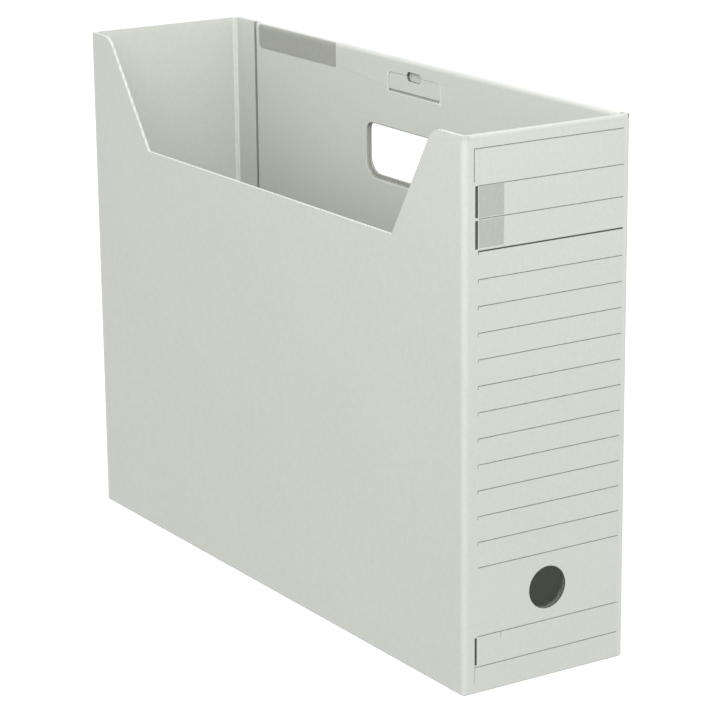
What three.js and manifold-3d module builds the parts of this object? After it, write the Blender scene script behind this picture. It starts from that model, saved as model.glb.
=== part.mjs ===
// Document file box, folded and glued from one die-cut sheet of thin corrugated board.
// Millimetres, +Z up. The origin is under the middle of the box, on the surface it stands on.
// The labelled front is at +X, the low side with the cutaway at -Y, the high side at +Y.
import * as THREE from 'three';
import { mergeVertices } from 'three/addons/utils/BufferGeometryUtils.js';
import Module from 'manifold-3d';

const wasm = await Module();
wasm.setup();

// Outside size of the folded box
const LENGTH = 386;
const WIDTH = 102;
const HEIGHT = 290;

// The board and its folds
const BOARD = 1.6;
const INNER_FOLD_RADIUS = 0.9;
const LAYER_GAP = 0.3;
const CROWN_OVER_BOARD = 1.2;

// Glue flap in the back corner of the high side, and the doubled walls' inner panels
const FLAP_REACH = 22.5;
const FLAP_TO_PANEL = 3;
const GLUE_PRESS = 0.1;
const CUT_EDGE_SETBACK = 0.4;
const PANEL_END_CLEARANCE = 2.5;
const FRONT_FOLD_INSET = 3;

// Cutaway of the low side: distances from the back end, from the front end and from the top
const CUTAWAY_DEPTH = 60.6;
const CUTAWAY_TOP_FROM_BACK = 22;
const CUTAWAY_FOOT_FROM_BACK = 66.5;
const CUTAWAY_TOP_FROM_FRONT = 27;
const CUTAWAY_FOOT_FROM_FRONT = 64;
const EAR_RADIUS = 11;
const CUTAWAY_FOOT_RADIUS = 1.2;

// Handle hole in the high side, through both layers
const HANDLE_FROM_BACK = 196;
const HANDLE_LENGTH = 98;
const HANDLE_HEIGHT = 29.7;
const HANDLE_FROM_TOP = 41.3;
const HANDLE_TOP_RADIUS = 5;
const HANDLE_FOOT_RADIUS = 10;
const HANDLE_INNER_STEP = 2;

// Pull tab in the inner layer above the handle hole, creased along its foot
const TAB_LENGTH = 50.5;
const TAB_HEIGHT = 9.4;
const TAB_FROM_TOP = 9.4;
const TAB_RADIUS = 2.5;
const TAB_FOOT_RADIUS = 1.2;
const TAB_CLEARANCE = 0.3;
const TAB_GRIP_LENGTH = 14.3;
const TAB_GRIP_HEIGHT = 5.4;

// Finger hole in the front, through both layers
const FINGER_HOLE_DIAMETER = 23;
const FINGER_HOLE_FROM_LOW_SIDE = 52.4;
const FINGER_HOLE_FROM_FLOOR = 48.5;

// Relief nick at the top of the front corner of the high side
const NICK_DEPTH = 0.7;
const NICK_HEIGHT = 6;

// Seams between the four glued bottom flaps
const SEAM_WIDTH = 0.4;
const SEAM_CORNER_STOP = 6;

// Steps of a quarter turn, and how far a cutter runs past what it cuts
const ARC_STEPS = 8;
const CUT_PAST = 4;

// Values that follow from the sizes above
const back = -LENGTH / 2;
const front = LENGTH / 2;
const lowSide = -WIDTH / 2;
const highSide = WIDTH / 2;
const foldRadius = BOARD + INNER_FOLD_RADIUS;
const doubled = 2 * BOARD + LAYER_GAP;
const crown = BOARD + CROWN_OVER_BOARD;
const crownFoot = HEIGHT - crown;
const floor = 2 * BOARD;

const X = new THREE.Vector3(1, 0, 0);
const Y = new THREE.Vector3(0, 1, 0);
const Z = new THREE.Vector3(0, 0, 1);
const MINUS_X = X.clone().negate();
const MINUS_Y = Y.clone().negate();

// A closed three.js geometry as a solid that can be joined and cut
function solid(geometry) {
  const bare = geometry.clone();
  bare.deleteAttribute('normal');
  bare.deleteAttribute('uv');
  const merged = mergeVertices(bare, 1e-4);
  return new wasm.Manifold(new wasm.Mesh({
    numProp: 3,
    vertProperties: new Float32Array(merged.attributes.position.array),
    triVerts: new Uint32Array(merged.index.array),
  }));
}

// A solid back as a geometry for a mesh
function geometryOf(shape) {
  const mesh = shape.getMesh();
  const geometry = new THREE.BufferGeometry();
  geometry.setAttribute('position', new THREE.BufferAttribute(new Float32Array(mesh.vertProperties), 3));
  geometry.setIndex(new THREE.BufferAttribute(new Uint32Array(mesh.triVerts), 1));
  geometry.computeVertexNormals();
  return geometry;
}

// An outline with rounded corners, from corners given as [across, up, radius]
function roundedOutline(corners) {
  return corners.flatMap(([x, y, radius], i) => {
    const corner = new THREE.Vector2(x, y);
    if (radius <= 0) return [corner];
    const [beforeX, beforeY] = corners.at(i - 1);
    const [afterX, afterY] = corners[(i + 1) % corners.length];
    const toBefore = new THREE.Vector2(beforeX, beforeY).sub(corner).normalize();
    const toAfter = new THREE.Vector2(afterX, afterY).sub(corner).normalize();
    const half = Math.acos(toBefore.dot(toAfter)) / 2;
    const middle = toBefore.clone().add(toAfter).normalize();
    const centre = middle.multiplyScalar(radius / Math.sin(half)).add(corner);
    const start = toBefore.multiplyScalar(radius / Math.tan(half)).add(corner).sub(centre);
    const end = toAfter.multiplyScalar(radius / Math.tan(half)).add(corner).sub(centre);
    const turn = Math.atan2(start.cross(end), start.dot(end));
    return Array.from({ length: ARC_STEPS + 1 }, (_, step) => (
      start.clone().rotateAround(new THREE.Vector2(), turn * step / ARC_STEPS).add(centre)));
  });
}

// Outline of a strip of board that runs along a path of right-angled folds.
// The path lies on the strip's outer face, and the board is on its right-hand side.
function foldedStrip(path) {
  const directions = path.slice(1).map((point, i) => point.clone().sub(path[i]).normalize());
  const rightOf = (direction) => new THREE.Vector2(direction.y, -direction.x);
  const outer = path.map((point, i) => {
    const isFold = i > 0 && i < path.length - 1;
    return [point.x, point.y, isFold ? foldRadius : 0];
  });
  const inner = path.map((point, i) => {
    const isFold = i > 0 && i < path.length - 1;
    const shifted = point.clone().addScaledVector(rightOf(directions[Math.max(i - 1, 0)]), BOARD);
    if (isFold) shifted.addScaledVector(rightOf(directions[i]), BOARD);
    return [shifted.x, shifted.y, isFold ? INNER_FOLD_RADIUS : 0];
  });
  return roundedOutline([...outer, ...inner.reverse()]);
}

// An outline drawn on the plane of two axes, run out along their cross product
function extrude(outline, depth, origin, across, up) {
  const geometry = new THREE.ExtrudeGeometry(new THREE.Shape(outline), { depth, bevelEnabled: false });
  const along = across.clone().cross(up);
  const place = new THREE.Matrix4().makeBasis(across, up, along).setPosition(origin);
  return solid(geometry.applyMatrix4(place));
}

// A block between two opposite corners
function block(low, high) {
  const size = high.clone().sub(low);
  const middle = low.clone().add(high).multiplyScalar(0.5);
  return solid(new THREE.BoxGeometry(size.x, size.y, size.z).translate(middle.x, middle.y, middle.z));
}

// Points along half an ellipse, from -across through the top to +across
function archPoints(middle, halfWidth, foot, rise, steps) {
  return Array.from({ length: steps + 1 }, (_, i) => {
    const angle = Math.PI * (1 - i / steps);
    return new THREE.Vector2(middle + halfWidth * Math.cos(angle), foot + rise * Math.sin(angle));
  });
}

// Section of a wall that is folded over at the top, from its outer face inwards
function foldedOverSection(outerFace) {
  const outerArch = archPoints(doubled / 2, doubled / 2, crownFoot, crown, 2 * ARC_STEPS);
  const innerArch = archPoints(BOARD + LAYER_GAP / 2, LAYER_GAP / 2, crownFoot, CROWN_OVER_BOARD, 4);
  const depths = [
    new THREE.Vector2(0, foldRadius),
    ...outerArch,
    new THREE.Vector2(doubled, floor + LAYER_GAP),
    new THREE.Vector2(BOARD + LAYER_GAP, floor + LAYER_GAP),
    ...innerArch.reverse(),
    new THREE.Vector2(BOARD, foldRadius),
  ];
  return depths.map((point) => new THREE.Vector2(outerFace - point.x, point.y));
}

// The four walls and the glue flap, before the tops of the doubled walls are folded over
function wallBelt() {
  const flapFace = highSide - BOARD + GLUE_PRESS;
  const walls = foldedStrip([
    new THREE.Vector2(back + CUT_EDGE_SETBACK, highSide),
    new THREE.Vector2(front, highSide),
    new THREE.Vector2(front, lowSide),
    new THREE.Vector2(back, lowSide),
    new THREE.Vector2(back, 0),
  ]);
  const flap = foldedStrip([
    new THREE.Vector2(back, -CUT_PAST),
    new THREE.Vector2(back, flapFace),
    new THREE.Vector2(back + FLAP_REACH, flapFace),
  ]);
  const base = new THREE.Vector3();
  return extrude(walls, HEIGHT, base, X, Y).add(extrude(flap, HEIGHT, base, X, Y));
}

// Two walls folded over at the top, each with its inner panel
function foldedOverWalls(belt) {
  const farBack = back + FLAP_REACH + FLAP_TO_PANEL;
  const farFront = front - doubled - PANEL_END_CLEARANCE;
  const frontLow = lowSide + FRONT_FOLD_INSET;
  const frontHigh = highSide - BOARD - LAYER_GAP;
  const topCut = HEIGHT + CUT_PAST;
  const farTrim = block(
    new THREE.Vector3(farBack, highSide - BOARD - LAYER_GAP / 2, crownFoot),
    new THREE.Vector3(farFront, highSide + CUT_PAST, topCut));
  const frontTrim = block(
    new THREE.Vector3(front - BOARD - LAYER_GAP / 2, frontLow, crownFoot),
    new THREE.Vector3(front + CUT_PAST, frontHigh, topCut));
  const farWall = extrude(
    foldedOverSection(highSide), farFront - farBack, new THREE.Vector3(farBack, 0, 0), Y, Z);
  const frontWall = extrude(
    foldedOverSection(front), frontHigh - frontLow, new THREE.Vector3(0, frontHigh, 0), X, Z);
  return belt.subtract(farTrim).subtract(frontTrim).add(farWall).add(frontWall);
}

// Bottom of two glued layers, inside the folds of the walls
function bottomPanel() {
  const inset = BOARD / 2;
  return block(
    new THREE.Vector3(back + inset, lowSide + inset, 0),
    new THREE.Vector3(front - inset, highSide - inset, floor));
}

// What rounds the four bottom folds off
function bottomFoldCutters() {
  const rounding = roundedOutline([
    [-CUT_PAST, -CUT_PAST, 0],
    [foldRadius, -CUT_PAST, 0],
    [foldRadius, 0, 0],
    [0, 0, foldRadius],
    [0, foldRadius, 0],
    [-CUT_PAST, foldRadius, 0],
  ]);
  const longRun = LENGTH + 2 * CUT_PAST;
  const shortRun = WIDTH + 2 * CUT_PAST;
  return [
    extrude(rounding, longRun, new THREE.Vector3(back - CUT_PAST, lowSide, 0), Y, Z),
    extrude(rounding, longRun, new THREE.Vector3(front + CUT_PAST, highSide, 0), MINUS_Y, Z),
    extrude(rounding, shortRun, new THREE.Vector3(back, highSide + CUT_PAST, 0), X, Z),
    extrude(rounding, shortRun, new THREE.Vector3(front, lowSide - CUT_PAST, 0), MINUS_X, Z),
  ];
}

// Seams of the glued bottom: one along the middle, and one to each corner, as deep as the outer layer
function bottomSeams() {
  const apex = (LENGTH - WIDTH) / 2;
  const reach = Math.SQRT2 * (WIDTH / 2 - SEAM_CORNER_STOP);
  const depth = 2 * BOARD;
  const seams = [new THREE.BoxGeometry(2 * apex + SEAM_WIDTH, SEAM_WIDTH, depth)];
  for (const end of [-1, 1]) {
    for (const side of [-1, 1]) {
      const seam = new THREE.BoxGeometry(reach, SEAM_WIDTH, depth).translate(reach / 2, 0, 0);
      const heading = Math.atan2(side, end);
      seams.push(seam.rotateZ(heading).translate(end * apex, 0, 0));
    }
  }
  return seams.map(solid);
}

// Cutaway of the low side, from the top
function cutaway() {
  const foot = HEIGHT - CUTAWAY_DEPTH;
  const backRun = CUTAWAY_FOOT_FROM_BACK - CUTAWAY_TOP_FROM_BACK;
  const frontRun = CUTAWAY_FOOT_FROM_FRONT - CUTAWAY_TOP_FROM_FRONT;
  const earReach = (run) => EAR_RADIUS * Math.tan((Math.PI / 2 - Math.atan2(run, CUTAWAY_DEPTH)) / 2);
  const above = HEIGHT + CUT_PAST;
  const backTop = back + CUTAWAY_TOP_FROM_BACK;
  const frontTop = front - CUTAWAY_TOP_FROM_FRONT;
  const outline = roundedOutline([
    [backTop - earReach(backRun), above, 0],
    [backTop - earReach(backRun), HEIGHT, 0],
    [backTop, HEIGHT, EAR_RADIUS],
    [back + CUTAWAY_FOOT_FROM_BACK, foot, CUTAWAY_FOOT_RADIUS],
    [front - CUTAWAY_FOOT_FROM_FRONT, foot, CUTAWAY_FOOT_RADIUS],
    [frontTop, HEIGHT, EAR_RADIUS],
    [frontTop + earReach(frontRun), HEIGHT, 0],
    [frontTop + earReach(frontRun), above, 0],
  ]);
  const origin = new THREE.Vector3(0, lowSide + BOARD + CUT_PAST, 0);
  return extrude(outline, BOARD + 2 * CUT_PAST, origin, X, Z);
}

// Handle hole: the inner layer's cut reaches a little lower than the outer one's
function handleHole() {
  const middle = back + HANDLE_FROM_BACK;
  const top = HEIGHT - HANDLE_FROM_TOP;
  const layerPlane = highSide - BOARD - LAYER_GAP / 2;
  const outlineDownTo = (foot) => roundedOutline([
    [middle - HANDLE_LENGTH / 2, foot, HANDLE_FOOT_RADIUS],
    [middle + HANDLE_LENGTH / 2, foot, HANDLE_FOOT_RADIUS],
    [middle + HANDLE_LENGTH / 2, top, HANDLE_TOP_RADIUS],
    [middle - HANDLE_LENGTH / 2, top, HANDLE_TOP_RADIUS],
  ]);
  const outerCut = extrude(
    outlineDownTo(top - HANDLE_HEIGHT),
    highSide + CUT_PAST - layerPlane,
    new THREE.Vector3(0, highSide + CUT_PAST, 0), X, Z);
  const innerCut = extrude(
    outlineDownTo(top - HANDLE_HEIGHT - HANDLE_INNER_STEP),
    doubled + CUT_PAST - BOARD - LAYER_GAP / 2,
    new THREE.Vector3(0, layerPlane, 0), X, Z);
  return outerCut.add(innerCut);
}

// Finger hole through both layers of the front
function fingerHole() {
  const reach = doubled + 2 * CUT_PAST;
  const radius = FINGER_HOLE_DIAMETER / 2;
  const drill = new THREE.CylinderGeometry(radius, radius, reach, 6 * ARC_STEPS);
  drill.rotateZ(Math.PI / 2);
  drill.translate(front - doubled / 2, lowSide + FINGER_HOLE_FROM_LOW_SIDE, FINGER_HOLE_FROM_FLOOR);
  return solid(drill);
}

// Relief nick at the top of the front corner of the high side
function cornerNick() {
  return block(
    new THREE.Vector3(front - doubled - PANEL_END_CLEARANCE, highSide - NICK_DEPTH, HEIGHT - NICK_HEIGHT),
    new THREE.Vector3(front + CUT_PAST, highSide + CUT_PAST, HEIGHT + CUT_PAST));
}

// Place of the pull tab: its crease is its foot, on the inner face of the doubled wall
const tabMiddle = back + HANDLE_FROM_BACK;
const tabTop = HEIGHT - TAB_FROM_TOP;
const tabCrease = tabTop - TAB_HEIGHT;
const tabFace = highSide - doubled;

// Outline of the tab, or of its window with the clearance as a margin, with its foot at a height
function tabOutline(margin, foot) {
  const left = tabMiddle - TAB_LENGTH / 2 - margin;
  const right = tabMiddle + TAB_LENGTH / 2 + margin;
  return roundedOutline([
    [left, foot, TAB_FOOT_RADIUS + margin],
    [right, foot, TAB_FOOT_RADIUS + margin],
    [right, tabTop + margin, TAB_RADIUS + margin],
    [left, tabTop + margin, TAB_RADIUS + margin],
  ]);
}

// Oval finger grip, half in the tab and half in the panel above it
function tabGrip() {
  const grip = new THREE.CylinderGeometry(TAB_GRIP_HEIGHT / 2, TAB_GRIP_HEIGHT / 2, 1, 4 * ARC_STEPS);
  const shift = (TAB_GRIP_LENGTH - TAB_GRIP_HEIGHT) / 2;
  const depth = BOARD + CUT_PAST;
  const y = tabFace + BOARD + LAYER_GAP / 2 - depth / 2;
  grip.scale(1, depth, 1);
  const ends = [-shift, shift].map((x) => solid(grip.clone().translate(tabMiddle + x, y, tabTop)));
  const middle = new THREE.BoxGeometry(2 * shift, depth, TAB_GRIP_HEIGHT).translate(tabMiddle, y, tabTop);
  return ends.reduce((joined, end) => joined.add(end), solid(middle));
}

function boxBody() {
  const windowOrigin = new THREE.Vector3(0, tabFace + BOARD + LAYER_GAP / 2, 0);
  const windowOutline = tabOutline(TAB_CLEARANCE, tabCrease - TAB_CLEARANCE / 2);
  const tabWindow = extrude(windowOutline, BOARD + CUT_PAST, windowOrigin, X, Z);
  const cuts = [
    ...bottomFoldCutters(),
    ...bottomSeams(),
    cutaway(),
    handleHole(),
    fingerHole(),
    cornerNick(),
    tabWindow,
    tabGrip(),
  ];
  const folded = foldedOverWalls(wallBelt()).add(bottomPanel());
  return cuts.reduce((body, cut) => body.subtract(cut), folded);
}

function pullTab() {
  const origin = new THREE.Vector3(0, tabFace + BOARD, 0);
  const outline = tabOutline(0, tabCrease + TAB_CLEARANCE / 2);
  return extrude(outline, BOARD, origin, X, Z).subtract(tabGrip());
}

const greyBoard = new THREE.MeshStandardMaterial({ color: 0xd1d3cc, roughness: 0.9, metalness: 0 });
const creasedBoard = new THREE.MeshStandardMaterial({ color: 0xcfd1ca, roughness: 0.9, metalness: 0 });

const fileBox = new THREE.Group();
const bodyMesh = new THREE.Mesh(geometryOf(boxBody()), greyBoard);
bodyMesh.name = 'box_body';
const tabMesh = new THREE.Mesh(geometryOf(pullTab()), creasedBoard);
tabMesh.name = 'pull_tab';
fileBox.add(bodyMesh, tabMesh);

export default fileBox;
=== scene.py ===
"""Document file box of pale grey corrugated board, with its printed label, in a plain pale studio."""

import math

import bmesh
import bpy
from mathutils import Matrix, Vector


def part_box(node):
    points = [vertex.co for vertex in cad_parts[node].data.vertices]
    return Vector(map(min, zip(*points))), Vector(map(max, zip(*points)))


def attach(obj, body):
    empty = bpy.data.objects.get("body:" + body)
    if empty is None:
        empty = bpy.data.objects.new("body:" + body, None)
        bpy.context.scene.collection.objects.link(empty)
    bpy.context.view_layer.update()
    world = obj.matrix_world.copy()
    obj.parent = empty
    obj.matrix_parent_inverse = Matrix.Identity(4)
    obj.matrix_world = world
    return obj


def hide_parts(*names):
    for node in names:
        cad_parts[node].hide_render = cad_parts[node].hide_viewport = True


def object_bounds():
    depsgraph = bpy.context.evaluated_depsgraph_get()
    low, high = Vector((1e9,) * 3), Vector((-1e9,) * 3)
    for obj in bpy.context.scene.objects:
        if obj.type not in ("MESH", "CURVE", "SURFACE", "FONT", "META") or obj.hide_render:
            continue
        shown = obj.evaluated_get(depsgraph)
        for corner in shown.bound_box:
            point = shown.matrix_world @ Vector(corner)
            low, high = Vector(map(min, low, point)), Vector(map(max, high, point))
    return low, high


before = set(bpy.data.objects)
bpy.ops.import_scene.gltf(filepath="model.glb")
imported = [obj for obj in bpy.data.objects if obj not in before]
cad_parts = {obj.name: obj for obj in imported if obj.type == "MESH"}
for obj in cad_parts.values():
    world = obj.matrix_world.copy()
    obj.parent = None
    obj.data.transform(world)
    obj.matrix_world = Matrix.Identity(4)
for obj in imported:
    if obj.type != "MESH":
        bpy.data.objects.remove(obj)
cad_low, cad_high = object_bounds()

MM = 0.001

# Outside of the box, from the frame, with the front at the high end of x and the low side at the low end of y
BACK, LOW_SIDE, BOTTOM = cad_low
FRONT, HIGH_SIDE, TOP = cad_high

# Print stands a few hundredths of a millimetre proud of the paper, inside the frame's box
INK_PROUD = 0.05 * MM
INK_SUNK = 0.1 * MM
SHEET_FRONT = FRONT - INK_PROUD

# The board and its folds
BOARD = 1.6 * MM
LAYER_GAP = 0.3 * MM
FOLD_RADIUS = 2.5 * MM
FOOT_FOLD_RADIUS = 0.8 * MM
FOLD_STEPS = 8
CROWN = 2.8 * MM
DOUBLED = 2 * BOARD + LAYER_GAP
FLOOR = BOTTOM + 2 * BOARD
CUT_PAST = 6 * MM
OVERLAP = 1 * MM
HAIR = 0.02 * MM

# Glue flap and the inner panels
FLAP_REACH = 22.5 * MM
FLAP_TO_PANEL = 3 * MM
GLUE_LINE = 0.05 * MM
CUT_EDGE_SETBACK = 0.4 * MM
PANEL_END_CLEARANCE = 2.5 * MM
FRONT_FOLD_INSET = 3 * MM
CROWN_FOOT = TOP - CROWN
PANEL_FACE = HIGH_SIDE - DOUBLED
FLAP_FACE = PANEL_FACE + LAYER_GAP

# Cutaway of the low side
CUTAWAY_FOOT = TOP - 60.6 * MM
CUTAWAY_TOP_BACK = BACK + 22 * MM
CUTAWAY_FOOT_BACK = BACK + 66.5 * MM
CUTAWAY_FOOT_FRONT = FRONT - 64 * MM
CUTAWAY_TOP_FRONT = FRONT - 27 * MM
EAR_RADIUS = 11 * MM
EAR_PAST = 1.02
CUTAWAY_FOOT_RADIUS = 1.2 * MM

# Handle hole and finger hole
HANDLE_MIDDLE = BACK + 196 * MM
HANDLE_LENGTH = 98 * MM
HANDLE_TOP = TOP - 41.3 * MM
HANDLE_FOOT = HANDLE_TOP - 29.7 * MM
HANDLE_INNER_FOOT = HANDLE_FOOT - 2 * MM
HANDLE_TOP_RADIUS = 5 * MM
HANDLE_FOOT_RADIUS = 10 * MM
HANDLE_INNER_PAST = 0.1 * MM
FINGER_HOLE_RADIUS = 11.5 * MM
FINGER_HOLE_Y = LOW_SIDE + 52.4 * MM
FINGER_HOLE_Z = BOTTOM + 48.5 * MM
HOLE_SIDES = 64

# Pull tab, from its CAD node
TAB_LOW, TAB_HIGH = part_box("pull_tab")
TAB_CLEARANCE = 0.3 * MM
TAB_RADIUS = 2.5 * MM
TAB_FOOT_RADIUS = 1.2 * MM
GRIP_LENGTH = 14.3 * MM
GRIP_HEIGHT = 5.4 * MM
GRIP_ROUNDNESS = 0.96

# Creases and crushed cuts
CREASE_GROOVE = 0.8 * MM
GROOVE_LIFT = 0.1 * MM
CREASE_BEAD = 1.1 * MM
BEAD_PROUD = 0.3 * MM
BEAD_TO_CORNER = 0.6 * MM
TAB_BEAD_DROP = 1.8 * MM
ROD_SIDES = 24
CRUSH = 0.3 * MM
CRUSH_STEPS = 2
CRUSH_ANGLE = math.radians(40)
SHARP_ANGLE = math.radians(50)

# Relief nick and notch at the far front corner, and the bottom's seams
NICK_DEPTH = 0.4 * MM
NICK_HEIGHT = 6 * MM
NOTCH_DEPTH = 0.9 * MM
NOTCH_HEIGHT = 2.2 * MM
SEAM_WIDTH = 0.4 * MM
SEAM_CORNER_STOP = 6 * MM

# Camera, fitted to the box's corners in the photograph
CAMERA_PLACE = Vector((1.3007, -0.8209, 0.5597))
CAMERA_HEADING = math.radians(147.365)
CAMERA_PITCH = math.radians(15.781)
CAMERA_ROLL = math.radians(0.568)
FOCAL_LENGTH_PX = 2846.8
IMAGE_PX = 720
SENSOR_MM = 36


def make_camera():
    camera = bpy.data.objects.new("camera", bpy.data.cameras.new("camera"))
    camera.data.sensor_width = SENSOR_MM
    camera.data.lens = FOCAL_LENGTH_PX / IMAGE_PX * SENSOR_MM
    camera.data.clip_start = 0.01
    heading = Matrix.Rotation(CAMERA_HEADING - math.pi / 2, 4, "Z")
    pitch = Matrix.Rotation(math.pi / 2 - CAMERA_PITCH, 4, "X")
    roll = Matrix.Rotation(-CAMERA_ROLL, 4, "Z")
    camera.matrix_world = Matrix.Translation(CAMERA_PLACE) @ heading @ pitch @ roll
    bpy.context.scene.collection.objects.link(camera)
    bpy.context.scene.camera = camera


make_camera()


# Node helpers
def new_material(name):
    material = bpy.data.materials.new(name)
    material.use_nodes = True
    tree = material.node_tree
    return material, tree, tree.nodes["Principled BSDF"]


def math_node(tree, operation, *values):
    node = tree.nodes.new("ShaderNodeMath")
    node.operation = operation
    for socket, value in zip(node.inputs, values):
        if hasattr(value, "is_linked"):
            tree.links.new(value, socket)
        else:
            socket.default_value = value
    return node.outputs[0]


def object_axes(tree):
    coordinates = tree.nodes.new("ShaderNodeTexCoord").outputs["Object"]
    split = tree.nodes.new("ShaderNodeSeparateXYZ")
    tree.links.new(coordinates, split.inputs[0])
    return coordinates, split.outputs


def noise(tree, coordinates, scale, detail, roughness):
    node = tree.nodes.new("ShaderNodeTexNoise")
    node.inputs["Scale"].default_value = scale
    node.inputs["Detail"].default_value = detail
    node.inputs["Roughness"].default_value = roughness
    tree.links.new(coordinates, node.inputs["Vector"])
    return node.outputs["Fac"]


def ramp_value(tree, value, low, high, out_low=0.0, out_high=1.0):
    node = tree.nodes.new("ShaderNodeMapRange")
    node.interpolation_type = "SMOOTHSTEP"
    for name, number in (("From Min", low), ("From Max", high), ("To Min", out_low), ("To Max", out_high)):
        node.inputs[name].default_value = number
    tree.links.new(value, node.inputs["Value"])
    return node.outputs["Result"]


def mix_colour(tree, factor, first, second):
    node = tree.nodes.new("ShaderNodeMix")
    node.data_type = "RGBA"
    tree.links.new(factor, node.inputs[0])
    colours = [socket for socket in node.inputs if socket.type == "RGBA"]
    for socket, value in zip(colours, (first, second)):
        if hasattr(value, "is_linked"):
            tree.links.new(value, socket)
        else:
            socket.default_value = (*value, 1.0)
    return [socket for socket in node.outputs if socket.type == "RGBA"][0]


def add_bump(tree, shader, height, strength, distance):
    node = tree.nodes.new("ShaderNodeBump")
    node.inputs["Strength"].default_value = strength
    node.inputs["Distance"].default_value = distance
    tree.links.new(height, node.inputs["Height"])
    tree.links.new(node.outputs["Normal"], shader.inputs["Normal"])


# Board finishes, with tones of painted highlight and painted shade
FLUTE_PITCH = 3.2 * MM
BOARD_PALE = (0.650, 0.670, 0.620)
BOARD_DEEP = (0.612, 0.632, 0.581)
# A paler tone for rubbed paper and painted highlight, then two darker tones of painted shade
BOARD_RUBBED_AND_HIGHLIT = (0.80, 0.815, 0.775)
BOARD_CROWN_PAINTED_SHADE = (0.50, 0.518, 0.472)
BOARD_PAINTED_SHADE = (0.33, 0.343, 0.312)
BOARD_ROUGHNESS = 0.88
BOARD_SHEEN = 0.3
EDGE_ROUGHNESS = 0.95
EDGE_SHEEN = 0.2
INK_ROUGHNESS = 0.8
INK_SHEEN = 0.3

# Noise patterns, each with its scale, detail and roughness
MOTTLE = (420.0, 4.0, 0.65)
CLOUD = (14.0, 2.0, 0.5)
FIBRE = (1300.0, 3.0, 0.7)
CRUMBLE = (700.0, 4.0, 0.6)
INK_MOTTLE = (420.0, 4.0, 0.6)

# How much each pattern does, the spans that it is spread over, and the bumps
MOTTLE_SHARE = 0.8
CLOUD_SHARE = 0.2
# Several of these shares are of painted highlight, painted shade and painted shadow
FOLD_RUB_AND_HIGHLIGHT = 0.36
RUB_AND_HIGHLIGHT_SHARE = 0.95
CROWN_SHADE_SHARE = 0.8
HANDLE_SHADOW_SHARE = 0.8
CRUMBLE_SHARE = 0.6
HOLLOW_SHADE_SHARE = 0.5
TONE_SPAN = (0.3, 0.7)
SPECK_SPAN = (0.35, 0.68, 0.0, 0.35)
RUB_AND_HIGHLIGHT_SPAN = (0.2, 0.8, 0.65, 1.0)
HOLLOW_SPAN = (0.35, 1.2)
INK_SPAN = (0.35, 0.75)
FLUTE_HEIGHT = 0.10
FIBRE_HEIGHT = 0.22
MOTTLE_HEIGHT = 0.35
BOARD_BUMP = (0.35, 0.25 * MM)
EDGE_BUMP = (0.5, 0.3 * MM)
INK_BUMP = (0.25, 0.1 * MM)

# Where the board's finishes, painted highlights and painted shade lie, and how softly they end, from the
# places of the folds and cuts
FACE_SOFT = 0.4 * MM
ON_PANEL = (PANEL_FACE - FACE_SOFT, PANEL_FACE + FACE_SOFT)
ON_BACK = (BACK + BOARD - FACE_SOFT, BACK + BOARD + 0.6 * MM)
FLAP_CRUSH_AND_HIGHLIGHT = (FLAP_FACE - 2.6 * MM, FLAP_FACE + 0.2 * MM)
CORNER_CRUSH_AND_HIGHLIGHT = (LOW_SIDE + BOARD, LOW_SIDE + BOARD + 2.2 * MM)
TAB_BAND_ACROSS = (TAB_LOW[0] - 0.6 * MM, TAB_HIGH[0] + 1.4 * MM)
TAB_BAND_UP = (TAB_LOW[2] - 3.1 * MM, TAB_LOW[2] - 1.2 * MM)
TAB_LEFT_ACROSS = (TAB_LOW[0] - 1.5 * MM, TAB_LOW[0] - 0.7 * MM)
TAB_LEFT_UP = (TAB_LOW[2] - 1.0 * MM, TAB_HIGH[2])
TAB_RIGHT_ACROSS = (TAB_HIGH[0] + 0.6 * MM, TAB_HIGH[0] + 1.3 * MM)
TAB_RIGHT_UP = (TAB_LOW[2], TAB_HIGH[2] - 1 * MM)
HANDLE_RIM = 0.8 * MM
HANDLE_LINE_SOFT = 0.3 * MM
HANDLE_RIM_FULL = HANDLE_INNER_FOOT + 10 * MM
HANDLE_RIM_END = HANDLE_INNER_FOOT + 18 * MM
HANDLE_SHADOW_UP = (HANDLE_TOP - 0.2 * MM, HANDLE_TOP + 0.5 * MM)
RUB_AND_HIGHLIGHT_START = 4.5 * MM
RUB_AND_HIGHLIGHT_FULL = 1.2 * MM
TOP_RUB_AND_HIGHLIGHT = 0.4
CROWN_SHADE_DROP = 0.6 * MM
INSIDE_START = 0.8 * MM
INSIDE_FULL = 1.4 * MM
DIM_FULL = BOTTOM + 40 * MM
DIM_END = BOTTOM + 120 * MM
DIM_SHARE = 0.62


def flute_wave(tree, axes):
    """The upright flutes under the paper, one wave along each wall."""
    along = math_node(tree, "ADD", axes["X"], axes["Y"])
    return math_node(tree, "SINE", math_node(tree, "MULTIPLY", along, math.tau / FLUTE_PITCH))


def band(tree, value, low, high, soft):
    """One between low and high, fading to nothing over a soft margin outside them."""
    rise = ramp_value(tree, value, low - soft, low)
    fall = ramp_value(tree, value, high, high + soft, 1.0, 0.0)
    return math_node(tree, "MULTIPLY", rise, fall)


def soft_box(tree, axes, spans, soft):
    """One inside a box, given as one (low, high) for each axis, with soft sides."""
    mask = None
    for name, (low, high) in zip("XYZ", spans):
        inside = band(tree, axes[name], low, high, soft)
        mask = inside if mask is None else math_node(tree, "MULTIPLY", mask, inside)
    return mask


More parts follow.
